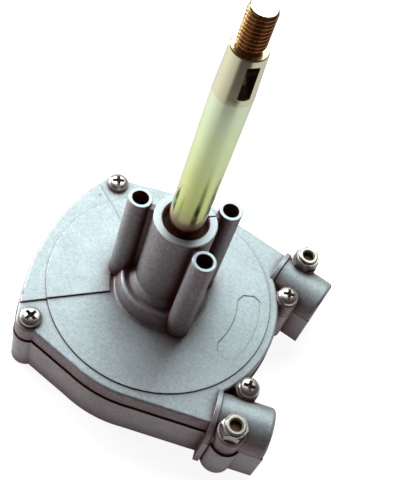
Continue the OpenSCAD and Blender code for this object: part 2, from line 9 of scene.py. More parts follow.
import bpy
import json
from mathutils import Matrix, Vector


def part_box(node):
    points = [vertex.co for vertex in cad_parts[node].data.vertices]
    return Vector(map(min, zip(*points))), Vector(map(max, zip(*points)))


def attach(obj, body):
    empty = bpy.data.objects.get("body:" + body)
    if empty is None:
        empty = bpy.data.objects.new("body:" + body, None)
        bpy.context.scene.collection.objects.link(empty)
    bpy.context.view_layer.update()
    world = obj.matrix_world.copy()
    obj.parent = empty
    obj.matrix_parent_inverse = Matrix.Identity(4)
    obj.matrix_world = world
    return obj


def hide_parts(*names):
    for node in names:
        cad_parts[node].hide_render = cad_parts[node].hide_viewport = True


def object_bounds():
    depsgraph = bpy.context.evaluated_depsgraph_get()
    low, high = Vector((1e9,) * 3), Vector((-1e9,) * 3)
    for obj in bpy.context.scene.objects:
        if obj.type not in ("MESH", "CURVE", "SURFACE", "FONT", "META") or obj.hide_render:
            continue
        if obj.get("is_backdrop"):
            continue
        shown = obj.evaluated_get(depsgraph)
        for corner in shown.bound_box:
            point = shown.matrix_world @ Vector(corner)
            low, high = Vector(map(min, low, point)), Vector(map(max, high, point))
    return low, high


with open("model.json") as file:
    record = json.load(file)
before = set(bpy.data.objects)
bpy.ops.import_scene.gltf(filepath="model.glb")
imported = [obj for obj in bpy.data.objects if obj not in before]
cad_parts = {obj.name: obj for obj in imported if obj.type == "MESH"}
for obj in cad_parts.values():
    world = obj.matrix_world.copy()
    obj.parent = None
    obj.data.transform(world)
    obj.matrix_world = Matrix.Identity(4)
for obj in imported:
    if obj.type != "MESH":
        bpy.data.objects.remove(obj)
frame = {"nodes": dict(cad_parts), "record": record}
cad_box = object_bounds()
print("nodes:", len(frame["nodes"]))

# %% [markdown]
# ## The camera
#
# A camera is a place, three turns and a focal length. These were fitted to the round
# features of the photograph, so the render can be laid over it. The focal length is
# found in pixels, and becomes a lens in millimetres for a 36 mm sensor along the
# longer side of the picture.

# %% Place the camera
import math

import bpy
from mathutils import Euler, Vector

picture_size = (404, 480)
focal_pixels = 878.1
sensor = 36.0
nearest_seen = 0.01
camera_place = Vector((0.03367, -0.26760, 0.45888))
camera_degrees = (34.568, -13.053, 22.919)

camera_data = bpy.data.cameras.new("photo_camera")
camera_data.sensor_width = sensor
camera_data.lens = focal_pixels * sensor / max(picture_size)
camera_data.clip_start = nearest_seen
camera = bpy.data.objects.new("photo_camera", camera_data)
camera.location = camera_place
camera.rotation_euler = Euler([math.radians(angle) for angle in camera_degrees])
bpy.context.scene.collection.objects.link(camera)
bpy.context.scene.camera = camera
print("lens: %.1f mm" % camera_data.lens)

# %% [markdown]
# ## Nodes written as sums
#
# A material is a graph, and its arithmetic is easier to read as arithmetic. `Value`
# wraps one output socket. Adding, multiplying or comparing two of them adds the Math
# node for it. Every other node comes from `Graph.add`, which takes the node's type, its
# settings and what goes into its sockets. The same two classes build the trees of
# Geometry Nodes further down.


# %% A socket that can be used in a sum
class Value:
    def __init__(self, graph, socket):
        self.graph, self.socket = graph, socket

    def sum(self, operation, *others):
        """Any operation of the Math node, on this value and others."""
        inputs = dict(enumerate((self,) + others))
        return self.graph.add("ShaderNodeMath", {"operation": operation}, inputs)

    def __add__(self, other):
        return self.sum("ADD", other)

    def __radd__(self, other):
        return self.sum("ADD", other)

    def __sub__(self, other):
        return self.sum("SUBTRACT", other)

    def __rsub__(self, other):
        return self.graph.number("SUBTRACT", other, self)

    def __mul__(self, other):
        return self.sum("MULTIPLY", other)

    def __rmul__(self, other):
        return self.sum("MULTIPLY", other)

    def __truediv__(self, other):
        return self.sum("DIVIDE", other)

    def __rtruediv__(self, other):
        return self.graph.number("DIVIDE", other, self)

    def __gt__(self, other):
        return self.sum("GREATER_THAN", other)

    def __lt__(self, other):
        return self.sum("LESS_THAN", other)

    def __pow__(self, other):
        return self.sum("POWER", other)

    def clamped(self):
        return self.sum("MINIMUM", 1.0).sum("MAXIMUM", 0.0)

    def ramp(self, low, high):
        """0 below low, 1 above high, and a straight line between."""
        return ((self - low) / (high - low)).clamped()


# %% A tree that nodes are added to
class Graph:
    def __init__(self, tree):
        self.tree = tree

    def add(self, kind, settings=None, inputs=None, out=0):
        """Adds a node, and gives one of its outputs."""
        node = self.tree.nodes.new(kind)
        for name, value in (settings or {}).items():
            setattr(node, name, value)
        for name, value in (inputs or {}).items():
            for one in value if isinstance(value, list) else [value]:
                if isinstance(one, Value):
                    self.tree.links.new(one.socket, node.inputs[name])
                else:
                    node.inputs[name].default_value = one
        return Value(self, node.outputs[out])

    def number(self, operation, *inputs):
        """A Math node that may start with a number."""
        return self.add("ShaderNodeMath", {"operation": operation}, dict(enumerate(inputs)))

    def parts(self, vector):
        """The three parts of a vector."""
        split = self.add("ShaderNodeSeparateXYZ", None, {0: vector}).socket.node
        return [Value(self, split.outputs[i]) for i in range(3)]

    def blend(self, factor, low, high):
        """A colour between two colours."""
        node = self.add("ShaderNodeMix", {"data_type": "RGBA"}).socket.node
        for slot, value in ((0, factor), (6, low), (7, high)):
            if isinstance(value, Value):
                self.tree.links.new(value.socket, node.inputs[slot])
            else:
                node.inputs[slot].default_value = value
        return Value(self, node.outputs[2])

    def noise(self, place, scale, detail, rough):
        """Noise with about so many grains in a metre."""
        return self.add("ShaderNodeTexNoise", None, {
            "Vector": place, "Scale": scale, "Detail": detail, "Roughness": rough})


def rgb(red, green, blue):
    return (red, green, blue, 1.0)


# %% [markdown]
# ## Cast aluminium
#
# The two castings come out of a steel die and are tumbled, not machined. That leaves a
# fine grain, a mottle and faint clouds. The soft edges get a painted highlight, and the
# corners and the steep walls get a painted brown shade.
# The Bevel node rounds each edge in the shading alone, and the angle between its normal
# and the true one tells where the edges are. Ambient occlusion finds the corners. The
# rest is found by its place: the end faces of the hub and posts are machined, the joint
# between the castings is a fine dark line, the holes in the posts are tapped and get a
# painted shade with lighter crests, the walls of the low steps of the cover get more of
# the painted shade, the walls of the housing are paler, and one small pit marks the rim.


# %% A start for every material
def new_material(name, metallic, roughness):
    print("material:", name)
    material = bpy.data.materials.new(name)
    material.use_nodes = True
    graph = Graph(material.node_tree)
    shader = material.node_tree.nodes["Principled BSDF"]
    shader.inputs["Metallic"].default_value = metallic
    shader.inputs["Roughness"].default_value = roughness
    place = graph.add("ShaderNodeTexCoord", out="Object")
    return material, graph, shader, place


def feed(graph, shader, **sockets):
    """Links values to sockets of the shader, such as Base_Color=colour."""
    for name, value in sockets.items():
        graph.tree.links.new(value.socket, shader.inputs[name.replace("_", " ")])


def shelter(graph, reach, low, high):
    """0 up to a low share of blocked light, and 1 from a high one, as in a deep corner."""
    light = graph.add("ShaderNodeAmbientOcclusion", {"samples": 6}, {"Distance": reach}, out="AO")
    return (1.0 - light).ramp(low, high)


# %% Sizes of the castings that the finish needs
millimetre = 0.001
hub_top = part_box("front_cover")[1][2]
machined_from = hub_top - 0.4 * millimetre
joint_height = 28 * millimetre
joint_core, joint_edge = 0.14 * millimetre, 0.36 * millimetre
cover_face = 40 * millimetre
steps_from, steps_to = cover_face - 1 * millimetre, cover_face + 1.3 * millimetre  # heights
post_ring = 25.6 * millimetre
post_turns = (180, 45, -45)
post_hole_radius = 4.4 * millimetre
post_hole_margin = 0.05 * millimetre
post_thread_pitch = 1.25 * millimetre
pit_place = Vector((-58.5, 40.0, 40.2)) * millimetre
pit_core, pit_edge = 0.5 * millimetre, 0.9 * millimetre
print("hub end face: %.1f mm above the back" % (hub_top / millimetre))


# %% Masks for the joint, the pit, the edges and the tapped holes
def joint_line(height):
    """1 on the line where the castings meet, and 0 beside it."""
    return 1.0 - (height - joint_height).sum("ABSOLUTE").ramp(joint_core, joint_edge)


def pit_mark(graph, place):
    """1 in the small pit on the rim, and 0 round it."""
    distance = graph.add("ShaderNodeVectorMath", {"operation": "DISTANCE"},
                         {0: place, 1: pit_place}, out="Value")
    return 1.0 - distance.ramp(pit_core, pit_edge)


def rounded_edges(graph, radius):
    """The normal with rounded edges, the true one, and 1 where the two differ."""
    soft = graph.add("ShaderNodeBevel", {"samples": 4}, {"Radius": radius})
    true = graph.add("ShaderNodeNewGeometry", out="Normal")
    same_way = graph.add("ShaderNodeVectorMath", {"operation": "DOT_PRODUCT"},
                         {0: soft, 1: true}, out="Value")
    return soft, true, (1.0 - same_way).ramp(*edge_range)


def tapped_holes(x, y, height):
    """The mask of the three holes, and the ridges of their thread."""
    inside, ridges = 0.0, 0.0
    for degrees in post_turns:
        across = x - post_ring * math.cos(math.radians(degrees))
        along = y - post_ring * math.sin(math.radians(degrees))
        distance = (across * across + along * along) ** 0.5
        hole = distance < post_hole_radius + post_hole_margin
        turn = along.sum("ARCTAN2", across) / (2 * math.pi)
        ridge = (height / post_thread_pitch + turn).sum("PINGPONG", 0.5) * 2.0
        inside, ridges = hole + inside, hole * ridge + ridges
    return inside.clamped(), ridges


# %% Grain, corners and colours of cast aluminium
grain_noise, mottle_noise, cloud_noise = (1100, 3.0, 0.6), (480, 4.0, 0.7), (75, 5.0, 0.6)
tone_range, steep_range, edge_range = (0.39, 0.61), (0.2, 0.9), (0.01, 0.16)
edge_radius = 0.7 * millimetre
grain_depth = 0.12 * millimetre
hollow_shade_reach = (16 * millimetre, 0.12, 0.5)  # reach, and where its painted shade starts and is full
tall_wall_shade_reach = (34 * millimetre, 0.3, 0.6)
crease_shade_reach = (1.4 * millimetre, 0.45, 0.8)
pale_wall = rgb(0.72, 0.76, 0.78)
machined_metal = rgb(0.6, 0.68, 0.73)
wall_shade_metal = rgb(0.26, 0.13, 0.12)
edge_highlight_metal = rgb(0.78, 0.84, 0.86)
shade_and_joint_brown = rgb(0.15, 0.05, 0.045)
print("grain: about %.1f mm" % (1 / grain_noise[0] / millimetre))


# %% Cast aluminium
def cast_aluminium(name, light, dark, machined_above):
    """Every mask here runs from 0, none of it, to 1, all of it."""
    material, graph, shader, place = new_material(name, metallic=0.5, roughness=0.5)
    x, y, height = graph.parts(place)
    grain = graph.noise(place, *grain_noise)
    clouds = graph.noise(place, *cloud_noise)
    mottle = graph.noise(place, *mottle_noise)
    soft, true, edge = rounded_edges(graph, edge_radius)
    steep = 1.0 - graph.parts(true)[2].sum("ABSOLUTE").ramp(*steep_range)
    line = joint_line(height)
    pit = pit_mark(graph, place)
    holes, ridges = tapped_holes(x, y, height)
    machined = height > machined_above
    on_cover = height > joint_height
    on_cover_rim = on_cover * (height < cover_face)
    # The walls of the cover's low steps, which get a painted shade.
    step_wall_shade = steep * (height > steps_from) * (height < steps_to)

    tone = (grain * 0.42 + mottle * 0.4 + clouds * 0.18).ramp(*tone_range)
    metal = graph.blend(tone, dark, light)
    metal = graph.blend(steep * (1.0 - on_cover) * 0.5, metal, pale_wall)
    metal = graph.blend(machined * 0.7, metal, machined_metal)
    # Steep walls get a painted shade: more on the cover and its rim, and more where the tone is
    # dark.
    steep_wall_shade = 0.16 * on_cover + 0.15 * on_cover_rim + 0.32 * (1.0 - tone)
    metal = graph.blend(steep * steep_wall_shade, metal, wall_shade_metal)
    # A painted highlight along the rounded edges, but not on the joint line.
    metal = graph.blend(edge * 0.65 * (1.0 - line), metal, edge_highlight_metal)

    # Painted brown shade in the hollows, low on the tall walls and in the creases, where ambient
    # occlusion finds them.
    hollow_shade = shelter(graph, *hollow_shade_reach) * (0.4 + 0.42 * on_cover)
    tall_wall_shade = steep * shelter(graph, *tall_wall_shade_reach) * 0.6
    crease_shade = shelter(graph, *crease_shade_reach) * 0.6
    # Inside the tapped holes the colour is painted shade, lighter on the thread's crests; the
    # joint line and the pit are real dark marks.
    joint_pit_and_shade = step_wall_shade * 0.7 + line * 0.9 + pit * 0.6 + holes * (0.5 - ridges * 0.35)
    # The painted shade and the real dark marks share one brown.
    shade_and_marks = (hollow_shade + tall_wall_shade + crease_shade + joint_pit_and_shade).clamped()
    rough = 0.44 + 0.16 * grain + shade_and_marks * 0.12 - machined * 0.1
    bumps = graph.add("ShaderNodeBump", None, {
        "Strength": 0.4, "Distance": grain_depth, "Normal": soft,
        "Height": grain * (1.0 - machined * 0.8) + clouds * 0.6 - line - pit + ridges * 2.0})
    feed(graph, shader, Base_Color=graph.blend(shade_and_marks, metal, shade_and_joint_brown), Roughness=rough,
         Normal=bumps)
    return material


cast_finish = cast_aluminium(
    "cast_aluminium", rgb(0.63, 0.7, 0.72), rgb(0.42, 0.46, 0.48), machined_from)
drum_finish = cast_aluminium(
    "drum_aluminium", rgb(0.56, 0.58, 0.6), rgb(0.42, 0.44, 0.45), hub_top)  # it ends lower
print("castings: the end faces above %.1f mm are machined" % (machined_from / millimetre))

# %% [markdown]
# ## Yellow chromate over zinc
#
# The shaft is ground steel, zinc plated and dipped in yellow chromate. The film is
# thinner than a wavelength of light, so its colour follows its thickness: pink bronze
# near the hub, yellow green above it, paler up the shaft, tan on the turned taper and
# brown on the thread. It is a polished metal, so the colour is in the reflection, with
# faint lines round the shaft. A list of heights and colours makes the drift, with noise
# to break its edges. The key slot is dark brown, and the corners get a painted shade.

# %% Sizes and colours of the shaft
shaft_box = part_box("steering_shaft")
shaft_radius = shaft_box[1][0]
taper_start = 202 * millimetre
taper_rate = 1 / 12
thread_start = 228.8 * millimetre
key_slot_end = 225 * millimetre
key_slot_skin = 0.4 * millimetre
slot_corner_shade_reach = (3 * millimetre, 0.3, 0.9)
line_depth = 0.03 * millimetre
drift_noise, patch_noise, line_noise = (28, 3.0, 0.6), (160, 3.0, 0.6), (2600, 2.0, 0.7)
patch_range, pale_range = (0.3, 0.7), (0.4, 0.65)
drift_reach = 20 * millimetre
near_hub = (rgb(0.8, 0.46, 0.31), rgb(0.8, 0.6, 0.35))
pale_patches = rgb(0.84, 0.9, 0.72)
dark_slot_brown = rgb(0.08, 0.02, 0.006)
film_colours = [  # height in mm, how many mm the change takes, colour above it
    (120, 12, rgb(0.64, 0.78, 0.19)), (152, 50, rgb(0.67, 0.89, 0.47)),
    (185, 16, rgb(0.68, 0.9, 0.6)), (202, 0.6, rgb(0.66, 0.72, 0.48)),
    (227.4, 1.0, rgb(0.5, 0.27, 0.09)), (247.4, 0.2, rgb(0.8, 0.8, 0.66))]
sharp_change = 2  # mm: a change within this keeps a straight edge
print("shaft: %.2f mm across, in" % (2 * shaft_radius / millimetre),
      len(film_colours) + 1, "colours")


# %% Yellow chromate
def yellow_chromate(name):
    material, graph, shader, place = new_material(name, metallic=1.0, roughness=0.2)
    x, y, height = graph.parts(place)
    drift = graph.noise(place, *drift_noise)
    patches = graph.noise(place, *patch_noise)
    lines = graph.noise(graph.add("ShaderNodeCombineXYZ", None, {2: height}), *line_noise)
    taper = height > taper_start
    metal = graph.blend(patches.ramp(*patch_range), *near_hub)
    uneven = height + (drift - 0.5) * drift_reach
    for at, over, colour in film_colours:
        level = uneven if over > sharp_change else height
        change = level.ramp((at - over / 2) * millimetre, (at + over / 2) * millimetre)
        metal = graph.blend(change, metal, colour)
    pale = (drift * 0.5 + patches * 0.5).ramp(*pale_range) * (0.3 - 0.22 * taper)
    metal = graph.blend(pale, metal, pale_patches)
    surface = shaft_radius - key_slot_skin - (height - taper_start) * (taper_rate / 2)
    in_key_slot = taper * (height < key_slot_end) * ((x * x + y * y) ** 0.5 < surface)
    # The key slot is dark brown all over, and the shaft's corners get a painted shade from ambient
    # occlusion.
    dark_slot_and_shade = (shelter(graph, *slot_corner_shade_reach) + in_key_slot).clamped() * 0.92
    bumps = graph.add("ShaderNodeBump", None, {
        "Strength": 0.12, "Distance": line_depth, "Height": lines})
    feed(graph, shader, Base_Color=graph.blend(dark_slot_and_shade, metal, dark_slot_brown),
         Metallic=1.0 - dark_slot_and_shade * 0.8, Roughness=0.12 + 0.1 * patches + 0.05 * lines,
         Normal=bumps)
    return material


shaft_finish = yellow_chromate("yellow_chromate")

# %% [markdown]
# ## Zinc, gear steel, polymer and rubber
#
# The screws, nuts and bolts are zinc plated, with a fine frost, and their recesses get
# brown grime with painted shade. The screws are the brightest, the nuts are painted
# darker for the dark room that their facets mirror, and the bolts, which show only
# inside the nuts and in the pockets of the back, are painted dark brown for the shade
# they sit in. The gears and the snap ring are darker steel. The bushes are moulded
# polymer, the seal is rubber and the rings in the nuts are nylon. All of these are plain
# pieces of one substance, so they need one function with a few values each: two colours,
# how metallic, how rough, how fine the grain is, how far it stands up, and how wide a
# corner gets grime and painted shade.

# %% One function for the plain finishes
grime_and_shade_colour = rgb(0.16, 0.065, 0.025)
grime_and_shade_range, plain_tone_range = (0.2, 0.65), (0.35, 0.65)
frost_depth = 0.05 * millimetre
cloud_size = 9  # times the size of the grain


def plain_finish(name, light, dark, metallic, roughness, grain_scale, bump, corner=2.5):
    material, graph, shader, place = new_material(name, metallic, roughness)
    grain = graph.noise(place, grain_scale, 3.0, 0.6)
    clouds = graph.noise(place, grain_scale / cloud_size, 2.0, 0.5)
    tone = (grain * 0.4 + clouds * 0.6).ramp(*plain_tone_range)
    metal = graph.blend(tone, dark, light)
    # Brown grime with painted shade, where ambient occlusion finds a corner.
    grime_and_shade = shelter(graph, corner * millimetre, *grime_and_shade_range) * 0.92
    bumps = graph.add("ShaderNodeBump", None, {
        "Strength": bump, "Distance": frost_depth, "Height": grain})
    feed(graph, shader, Base_Color=graph.blend(grime_and_shade, metal, grime_and_shade_colour),
         Metallic=metallic * (1.0 - grime_and_shade), Normal=bumps,
         Roughness=roughness - 0.05 + 0.1 * grain + grime_and_shade * 0.3)
    return material


# %% The plain finishes
screw_finish = plain_finish(
    "bright_zinc", rgb(0.66, 0.64, 0.6), rgb(0.48, 0.45, 0.42), 1.0, 0.32, 1800, 0.02, corner=4)
# The nuts are a darker copy of the zinc: a painted dark reflection on their facets.
nut_dark_reflection_finish = plain_finish(
    "nut_zinc_dark_reflection", rgb(0.56, 0.53, 0.49), rgb(0.38, 0.34, 0.31), 1.0, 0.28, 1800, 0.02, corner=5)
# The bolts show only deep in the nuts and in pockets, so their dark brown is painted shade.
bolt_shade_finish = plain_finish(
    "bolt_zinc_painted_shade", rgb(0.2, 0.12, 0.08), rgb(0.11, 0.06, 0.04), 1.0, 0.4, 1800, 0.06, corner=12)
gear_finish = plain_finish(
    "gear_steel", rgb(0.42, 0.42, 0.43), rgb(0.28, 0.28, 0.29), 1.0, 0.3, 1500, 0.1)
spring_finish = plain_finish(
    "spring_steel", rgb(0.3, 0.31, 0.34), rgb(0.2, 0.2, 0.22), 1.0, 0.35, 1500, 0.1)
polymer_finish = plain_finish(
    "bush_polymer", rgb(0.82, 0.8, 0.72), rgb(0.74, 0.72, 0.63), 0.0, 0.5, 900, 0.15)
rubber_finish = plain_finish(
    "seal_rubber", rgb(0.035, 0.03, 0.03), rgb(0.02, 0.018, 0.018), 0.0, 0.6, 1200, 0.3)
nylon_finish = plain_finish(
    "insert_nylon", rgb(0.34, 0.33, 0.19), rgb(0.26, 0.24, 0.12), 0.0, 0.45, 900, 0.15)

# %% [markdown]
# ## Every CAD node gets its finish
#
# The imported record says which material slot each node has, so the finishes are handed
# out by slot. The bolts and nuts share the screws' slot, and have their own finish by
# name. A node's mesh is left alone: only its material changes.

# %% Hand out the finishes
finish_of_slot = {
    "cast_aluminium": cast_finish,
    "drum_aluminium": drum_finish,
    "yellow_zinc_steel": shaft_finish,
    "gear_steel": gear_finish,
    "spring_steel": spring_finish,
    "bush_polymer": polymer_finish,
    "black_rubber": rubber_finish,
    "zinc_steel": screw_finish,
    "lock_nylon": nylon_finish,
}
finish_of_node = {"cable_bolts": bolt_shade_finish, "lock_nuts": nut_dark_reflection_finish}
slot_of_node = {part["node"]: part["material_slot"] for part in frame["record"]["subparts"]}
for name, node in frame["nodes"].items():
    finish = finish_of_node.get(name, finish_of_slot[slot_of_node[name]])
    if not node.material_slots:
        node.data.materials.append(finish)
    for slot in node.material_slots:
        slot.material = finish
print("finishes:", len(finish_of_slot) + len(finish_of_node))

# %% [markdown]
# ## Trees of Geometry Nodes
#
# A screw that sits in four places and a thread that follows a rule are both recipes.
# Geometry Nodes hold such a recipe as a tree with named sizes. Each tree here starts
# from a small mesh, ends in plain faces with a material, and is baked once into an
# ordinary mesh.


# %% Start, finish and bake a tree
def new_tree(name, sizes):
    tree = bpy.data.node_groups.new(name, "GeometryNodeTree")
    tree.interface.new_socket("Geometry", in_out="INPUT", socket_type="NodeSocketGeometry")
    for label, value in sizes.items():
        kind = "NodeSocketInt" if isinstance(value, int) else "NodeSocketFloat"
        tree.interface.new_socket(label, in_out="INPUT", socket_type=kind)
    tree.interface.new_socket("Geometry", in_out="OUTPUT", socket_type="NodeSocketGeometry")
    graph = Graph(tree)
    start = tree.nodes.new("NodeGroupInput")
    return graph, {item.name: Value(graph, item) for item in start.outputs if item.name}


def end_tree(graph, shape, material):
    plain = graph.add("GeometryNodeRealizeInstances", None, {"Geometry": shape})
    dressed = graph.add("GeometryNodeSetMaterial", None, {"Geometry": plain, "Material": material})
    end = graph.tree.nodes.new("NodeGroupOutput")
    graph.tree.links.new(dressed.socket, end.inputs["Geometry"])


def bake(name, graph, sizes, start_mesh):
    """Runs the tree on a mesh and gives the result as a plain mesh."""
    carrier = bpy.data.objects.new(name + "_carrier", start_mesh)
    bpy.context.scene.collection.objects.link(carrier)
    recipe = carrier.modifiers.new("recipe", "NODES")
    recipe.node_group = graph.tree
    for item in graph.tree.interface.items_tree:
        if item.in_out == "INPUT" and item.name in sizes:
            recipe[item.identifier] = sizes[item.name]
    result = carrier.evaluated_get(bpy.context.evaluated_depsgraph_get())
    mesh = bpy.data.meshes.new_from_object(result)
    mesh.name = name
    bpy.data.objects.remove(carrier)
    return mesh


# %% A grid that is bent into a turned shape
merge_gap = 0.002 * millimetre


def turned_grid(graph, columns, rows):
    """A grid and, for each of its points, the row and the turn from 0 to 1."""
    grid = graph.add("GeometryNodeMeshGrid", None, {"Vertices X": columns, "Vertices Y": rows})
    index = graph.add("GeometryNodeInputIndex")
    row = index.sum("MODULO", rows)
    turn = (index / rows).sum("FLOOR") / (columns - 1.0)
    return grid, row, turn


def bend_grid(graph, grid, radius, turn, height):
    """Puts each point at its radius, turn and height, and closes the seam."""
    angle = turn * (2 * math.pi)
    place = graph.add("ShaderNodeCombineXYZ", None, {
        0: radius * angle.sum("COSINE"), 1: radius * angle.sum("SINE"), 2: height})
    bent = graph.add("GeometryNodeSetPosition", None, {"Geometry": grid, "Position": place})
    return graph.add("GeometryNodeMergeByDistance", None, {
        "Geometry": bent, "Distance": merge_gap})


# %% Mend a mesh, and put it in the scene
import bmesh

weld_gap = 0.001 * millimetre
sharp_angle = math.radians(32)


def report(name, work):
    """Says how many faces a mesh has, and how many edges don't join two of them."""
    loose = sum(not edge.is_manifold for edge in work.edges)
    print("%s: %d faces, %d open edges" % (name, len(work.faces), loose))


def tidy_mesh(mesh):
    """Merges doubles and turns the faces outwards."""
    work = bmesh.new()
    work.from_mesh(mesh)
    bmesh.ops.remove_doubles(work, verts=work.verts, dist=weld_gap)
    bmesh.ops.recalc_face_normals(work, faces=work.faces)
    report(mesh.name, work)
    work.to_mesh(mesh)
    work.free()


def add_piece(name, mesh, slot, body, *nodes):
    """Puts a mesh in the scene, smooth but for its sharp edges, in place of CAD nodes."""
    mesh.shade_smooth()
    mesh.set_sharp_from_angle(angle=sharp_angle)
    piece = bpy.data.objects.new(name, mesh)
    bpy.context.scene.collection.objects.link(piece)
    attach(piece, body)
    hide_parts(*nodes)


# %% [markdown]
# ## The cover screws
#
# Four M6 pan-head screws hold the castings together. The photograph shows broad crosses,
# brown inside, each stopped at its own turn. The head is a turned shape: a grid bent
# round, with a crown that follows a flattened circle. Two tapered bars and a cone are
# cut out of it for the cross. The screw is then put on four points, one per seat, which
# carry the turn of each cross as an attribute.

# %% Sizes of a screw
screw_sizes = {
    "Head radius": 6.0 * millimetre, "Head height": 4.6 * millimetre,
    "Side height": 2.1 * millimetre, "Shank radius": 3.0 * millimetre,
    "Shank length": 20.0 * millimetre, "Cross span": 7.6 * millimetre,
    "Cross width": 2.0 * millimetre, "Cross depth": 3.2 * millimetre,
    "Columns": 97, "Rows": 26}
crown_power = 0.85  # 1 makes the crown a quarter ellipse, and less makes it fuller
foot_step = 0.2 * millimetre
shank_overlap = 0.4 * millimetre
shank_sides, heart_sides = 48, 32
screw_ring = 75.4 * millimetre
screw_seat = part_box("cover_screws")[1][2] - screw_sizes["Head height"]
screw_turns = [(135, 27), (-135, 70), (26, 14), (-26, 8)]  # degrees: the seat's, the cross's
print("screw seats: %.1f mm above the back" % (screw_seat / millimetre))


# %% The head and the shank
def screw_head(graph, size):
    """Row 0 is the middle of the foot, row 1 its edge, and the crown follows."""
    grid, row, turn = turned_grid(graph, size["Columns"], size["Rows"])
    along = ((row - 2.0) / (size["Rows"] - 3.0)).clamped() * (math.pi / 2)
    crown = size["Head height"] - size["Side height"]
    above_foot = row > 1.5
    radius = size["Head radius"] * along.sum("COSINE") ** crown_power * (row > 0.5)
    radius = radius - (1.0 - above_foot) * (row > 0.5) * foot_step
    height = above_foot * (size["Side height"] + crown * along.sum("SINE") ** crown_power)
    return bend_grid(graph, grid, radius, turn, height)


def lifted(graph, shape, height):
    lift = graph.add("ShaderNodeCombineXYZ", None, {2: height})
    return graph.add("GeometryNodeTransform", None, {"Geometry": shape, "Translation": lift})


def screw_shank(graph, size):
    shank = graph.add("GeometryNodeMeshCylinder", None, {
        "Vertices": shank_sides, "Radius": size["Shank radius"],
        "Depth": size["Shank length"] + shank_overlap}, out="Mesh")
    return lifted(graph, shank, (shank_overlap - size["Shank length"]) / 2.0)


# %% What is cut out for the cross
bar_length = (0.45, 0.7)  # shares of the cross span: at the foot, and how much the top adds
bar_width = (0.55, 0.55)  # shares of the cross width, in the same way
bar_height = 1.25  # shares of the cross depth: a quarter of it stands above the head
heart_radii = (1.05, 0.3)  # shares of the cross width, at its top and its foot
heart_height, heart_drop = 1.4, 1.08  # shares of the cross depth: how tall, how deep its foot


def cross_bar(graph, size, turned):
    """A bar that narrows downwards, in both its length and its width."""
    bar = graph.add("GeometryNodeMeshCube")
    x, y, z = graph.parts(graph.add("GeometryNodeInputPosition"))
    up = z + 0.5
    length = size["Cross span"] * (bar_length[0] + bar_length[1] * up)
    width = size["Cross width"] * (bar_width[0] + bar_width[1] * up)
    height = size["Head height"] + size["Cross depth"] * (bar_height * up - 1.0)
    sides = (0.0 - y * width, x * length) if turned else (x * length, y * width)
    place = graph.add("ShaderNodeCombineXYZ", None, {0: sides[0], 1: sides[1], 2: height})
    return graph.add("GeometryNodeSetPosition", None, {"Geometry": bar, "Position": place})


def cross_heart(graph, size):
    """The cone in the middle of the cross."""
    cone = graph.add("GeometryNodeMeshCone", None, {
        "Vertices": heart_sides, "Radius Top": size["Cross width"] * heart_radii[0],
        "Radius Bottom": size["Cross width"] * heart_radii[1],
        "Depth": size["Cross depth"] * heart_height}, out="Mesh")
    return lifted(graph, cone, size["Head height"] - size["Cross depth"] * heart_drop)


# %% The tree of a screw
graph, size = new_tree("cover_screw", screw_sizes)
cutters = [cross_bar(graph, size, False), cross_bar(graph, size, True), cross_heart(graph, size)]
head = graph.add("GeometryNodeMeshBoolean", {"operation": "DIFFERENCE", "solver": "EXACT"},
                 {"Mesh 1": screw_head(graph, size), "Mesh 2": cutters})
screw = graph.add("GeometryNodeJoinGeometry", None, {
    "Geometry": [head, screw_shank(graph, size)]})
turn = graph.add("GeometryNodeInputNamedAttribute", {"data_type": "FLOAT"}, {"Name": "turn"})
facing = graph.add("FunctionNodeEulerToRotation", None, {
    0: graph.add("ShaderNodeCombineXYZ", None, {2: turn})})
screws = graph.add("GeometryNodeInstanceOnPoints", None, {
    "Points": size["Geometry"], "Instance": screw, "Rotation": facing})
end_tree(graph, screws, screw_finish)
print("screw tree:", len(graph.tree.nodes), "nodes")

# %% One screw on each seat
seats = bpy.data.meshes.new("screw_seats")
places = [(screw_ring * math.cos(math.radians(at)), screw_ring * math.sin(math.radians(at)),
           screw_seat) for at, cross in screw_turns]
seats.from_pydata(places, [], [])
crosses = seats.attributes.new("turn", "FLOAT", "POINT")
for point, (at, cross) in zip(crosses.data, screw_turns):
    point.value = math.radians(cross)
screw_mesh = bake("cover_screws_cross", graph, screw_sizes, seats)
tidy_mesh(screw_mesh)
add_piece("cover_screws_cross", screw_mesh, "zinc_steel", "casing", "cover_screws")

# %% [markdown]
# ## The thread of the wheel nut
#
# The top of the shaft takes the nut that holds the wheel. CAD leaves it plain, because a
# thread has many faces and never touches another piece here. It follows a rule, so a
# bent grid makes it: the radius of a point is the crest, less a V that depends on its
# height and its turn. The same V on both counts gives one ridge that climbs round and
# round. Both ends are chamfered by a limit on the radius. The plain top of the CAD shaft
# is cut off in a copy, and the foot of the threaded end is sunk in the cut.

# %% Sizes of the thread
thread_sizes = {
    "Foot": 228.0 * millimetre, "Start": thread_start, "Top": shaft_box[1][2],
    "Crest radius": 6.35 * millimetre, "Neck radius": 5.4 * millimetre,
    "Pitch": 1.954 * millimetre, "Depth": 1.15 * millimetre,
    "Chamfer": 1.0 * millimetre, "Columns": 73, "Rows": 182}
crest_end, root_start = 0.14, 0.86  # shares of the way from a crest to a root
cut_height = thread_start - 0.3 * millimetre
print("thread: %.0f turns" % ((thread_sizes["Top"] - thread_start) / thread_sizes["Pitch"]))

